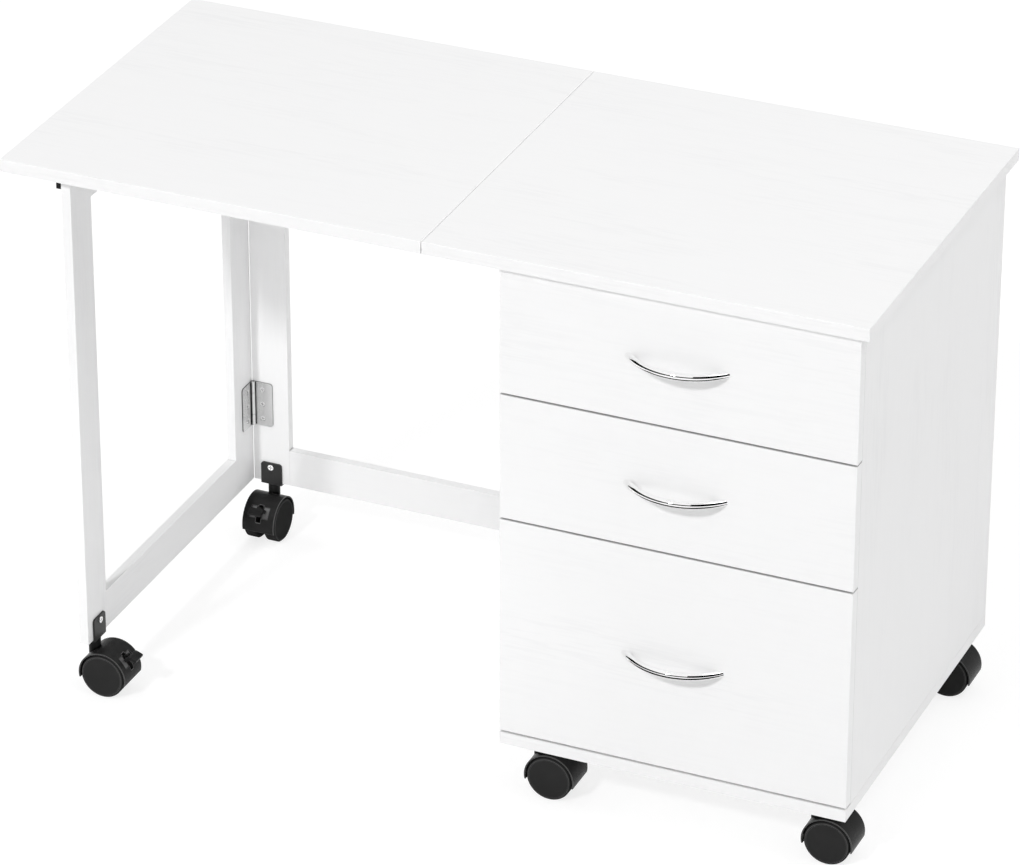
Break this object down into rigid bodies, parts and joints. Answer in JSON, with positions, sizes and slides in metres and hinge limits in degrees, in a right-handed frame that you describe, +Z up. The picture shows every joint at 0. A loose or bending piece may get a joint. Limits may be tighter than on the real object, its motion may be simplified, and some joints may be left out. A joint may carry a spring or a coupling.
{
  "type": "folding desk",
  "caption": "White folding desk on swivel casters: a fold-over leaf on hinged gate frames, beside a fixed half over a drawer cabinet with bow handles.",
  "frame": {"origin": "on the floor, under the middle of the desk's box, with the desk unfolded", "axes": "+X along the desk from the leaf to the cabinet, +Y from the drawers to the back, +Z up"},
  "size_m": [1.1, 0.5364, 0.7332],
  "materials": {
    "white_laminate": "white laminate with a fine wood grain",
    "backing_board": "plain white board",
    "runner_steel": "zinc plated",
    "handle_chrome": "polished chrome",
    "hinge_nickel": "nickel plated",
    "white_strip": "white lacquer",
    "screw_steel": "bright zinc",
    "black_steel": "black powder coat",
    "black_nylon": "satin moulded nylon",
    "wheel_nylon": "satin moulded nylon"
  },
  "bodies": {
    "cabinet": {"fixed_top": "white_laminate", "left_side_panel": "white_laminate", "right_side_panel": "white_laminate", "back_panel": "backing_board", "bottom_board": "white_laminate", "top_rails": "white_laminate", "cabinet_runners": "runner_steel", "gate_hinge_post": "white_laminate", "gate_hinge_fixed_leaves": "hinge_nickel", "gate_hinge_pins": "hinge_nickel", "cabinet_caster_plates": "black_steel", "cabinet_screws": "screw_steel", "top_hinge_fixed_strip": "white_strip", "top_hinge_pin": "white_strip"},
    "leaf": {"leaf_top": "white_laminate", "top_hinge_leaf_strip": "white_strip", "leaf_stop_block": "black_nylon", "leaf_screws": "screw_steel"},
    "rear_frame": {"rear_frame_left_post": "white_laminate", "rear_frame_right_post": "white_laminate", "rear_frame_top_rail": "white_laminate", "rear_frame_bottom_rail": "white_laminate", "gate_hinge_moving_leaves": "hinge_nickel", "corner_hinge_fixed_leaves": "hinge_nickel", "corner_hinge_pins": "hinge_nickel", "rear_caster_bracket": "black_steel", "rear_frame_screws": "screw_steel"},
    "side_frame": {"side_frame_front_post": "white_laminate", "side_frame_rear_post": "white_laminate", "side_frame_top_rail": "white_laminate", "side_frame_bottom_rail": "white_laminate", "corner_hinge_moving_leaves": "hinge_nickel", "side_caster_bracket": "black_steel", "side_frame_screws": "screw_steel"},
    "drawer_1": {"drawer_1_front": "white_laminate", "drawer_1_box": "backing_board", "drawer_1_handle": "handle_chrome", "drawer_1_runners": "runner_steel"},
    "drawer_2": {"drawer_2_front": "white_laminate", "drawer_2_box": "backing_board", "drawer_2_handle": "handle_chrome", "drawer_2_runners": "runner_steel"},
    "drawer_3": {"drawer_3_front": "white_laminate", "drawer_3_box": "backing_board", "drawer_3_handle": "handle_chrome", "drawer_3_runners": "runner_steel"},
    "front_left_caster": {"front_left_caster_hood": "black_nylon"},
    "front_left_wheels": {"front_left_caster_wheels": "wheel_nylon"},
    "front_right_caster": {"front_right_caster_hood": "black_nylon"},
    "front_right_wheels": {"front_right_caster_wheels": "wheel_nylon"},
    "back_left_caster": {"back_left_caster_hood": "black_nylon"},
    "back_left_wheels": {"back_left_caster_wheels": "wheel_nylon"},
    "back_right_caster": {"back_right_caster_hood": "black_nylon"},
    "back_right_wheels": {"back_right_caster_wheels": "wheel_nylon"},
    "side_frame_caster": {"side_frame_caster_hood": "black_nylon"},
    "side_frame_wheels": {"side_frame_caster_wheels": "wheel_nylon"},
    "side_frame_brake": {"side_frame_caster_brake_lever": "black_nylon"},
    "rear_frame_caster": {"rear_frame_caster_hood": "black_nylon"},
    "rear_frame_wheels": {"rear_frame_caster_wheels": "wheel_nylon"},
    "rear_frame_brake": {"rear_frame_caster_brake_lever": "black_nylon"}
  },
  "joints": [
    {"name": "leaf_fold", "type": "hinge", "parent": "cabinet", "child": "leaf", "pos_m": [0, 0, 0.73215], "axis": [0, 1, 0], "range_deg": [0, 180]},
    {"name": "gate_swing", "type": "hinge", "parent": "cabinet", "child": "rear_frame", "pos_m": [0.0155, 0.2342, 0.4], "axis": [0, 0, 1], "range_deg": [0, 90]},
    {"name": "side_frame_fold", "type": "hinge", "parent": "rear_frame", "child": "side_frame", "pos_m": [-0.461, 0.2342, 0.4], "axis": [0, 0, 1], "range_deg": [0, 90]},
    {"name": "drawer_1_slide", "type": "slide", "parent": "cabinet", "child": "drawer_1", "axis": [0, -1, 0], "range_m": [0, 0.33]},
    {"name": "drawer_2_slide", "type": "slide", "parent": "cabinet", "child": "drawer_2", "axis": [0, -1, 0], "range_m": [0, 0.33]},
    {"name": "drawer_3_slide", "type": "slide", "parent": "cabinet", "child": "drawer_3", "axis": [0, -1, 0], "range_m": [0, 0.33]},
    {"name": "front_left_swivel", "type": "hinge", "parent": "cabinet", "child": "front_left_caster", "pos_m": [0.133, -0.2012, 0.0604], "axis": [0, 0, 1], "continuous": true},
    {"name": "front_left_roll", "type": "hinge", "parent": "front_left_caster", "child": "front_left_wheels", "pos_m": [0.153, -0.2012, 0.029], "axis": [0, 1, 0], "continuous": true},
    {"name": "front_right_swivel", "type": "hinge", "parent": "cabinet", "child": "front_right_caster", "pos_m": [0.49, -0.2012, 0.0604], "axis": [0, 0, 1], "continuous": true},
    {"name": "front_right_roll", "type": "hinge", "parent": "front_right_caster", "child": "front_right_wheels", "pos_m": [0.51, -0.2012, 0.029], "axis": [0, 1, 0], "continuous": true},
    {"name": "back_left_swivel", "type": "hinge", "parent": "cabinet", "child": "back_left_caster", "pos_m": [0.133, 0.2178, 0.0604], "axis": [0, 0, 1], "continuous": true},
    {"name": "back_left_roll", "type": "hinge", "parent": "back_left_caster", "child": "back_left_wheels", "pos_m": [0.133, 0.1978, 0.029], "axis": [1, 0, 0], "continuous": true},
    {"name": "back_right_swivel", "type": "hinge", "parent": "cabinet", "child": "back_right_caster", "pos_m": [0.49, 0.2178, 0.0604], "axis": [0, 0, 1], "continuous": true},
    {"name": "back_right_roll", "type": "hinge", "parent": "back_right_caster", "child": "back_right_wheels", "pos_m": [0.51, 0.2178, 0.029], "axis": [0, 1, 0], "continuous": true},
    {"name": "side_frame_swivel", "type": "hinge", "parent": "side_frame", "child": "side_frame_caster", "pos_m": [-0.47, -0.2043, 0.0604], "axis": [0, 0, 1], "continuous": true},
    {"name": "side_frame_roll", "type": "hinge", "parent": "side_frame_caster", "child": "side_frame_wheels", "pos_m": [-0.45, -0.2043, 0.029], "axis": [0, 1, 0], "continuous": true},
    {"name": "side_frame_brake", "type": "hinge", "parent": "side_frame_caster", "child": "side_frame_brake", "pos_m": [-0.43636, -0.2043, 0.04727], "axis": [0, 1, 0], "range_deg": [0, 12]},
    {"name": "rear_frame_swivel", "type": "hinge", "parent": "rear_frame", "child": "rear_frame_caster", "pos_m": [-0.4375, 0.2432, 0.0604], "axis": [0, 0, 1], "continuous": true},
    {"name": "rear_frame_roll", "type": "hinge", "parent": "rear_frame_caster", "child": "rear_frame_wheels", "pos_m": [-0.4375, 0.2232, 0.029], "axis": [1, 0, 0], "continuous": true},
    {"name": "rear_frame_brake", "type": "hinge", "parent": "rear_frame_caster", "child": "rear_frame_brake", "pos_m": [-0.4375, 0.20956, 0.04727], "axis": [1, 0, 0], "range_deg": [0, 12]}
  ]
}
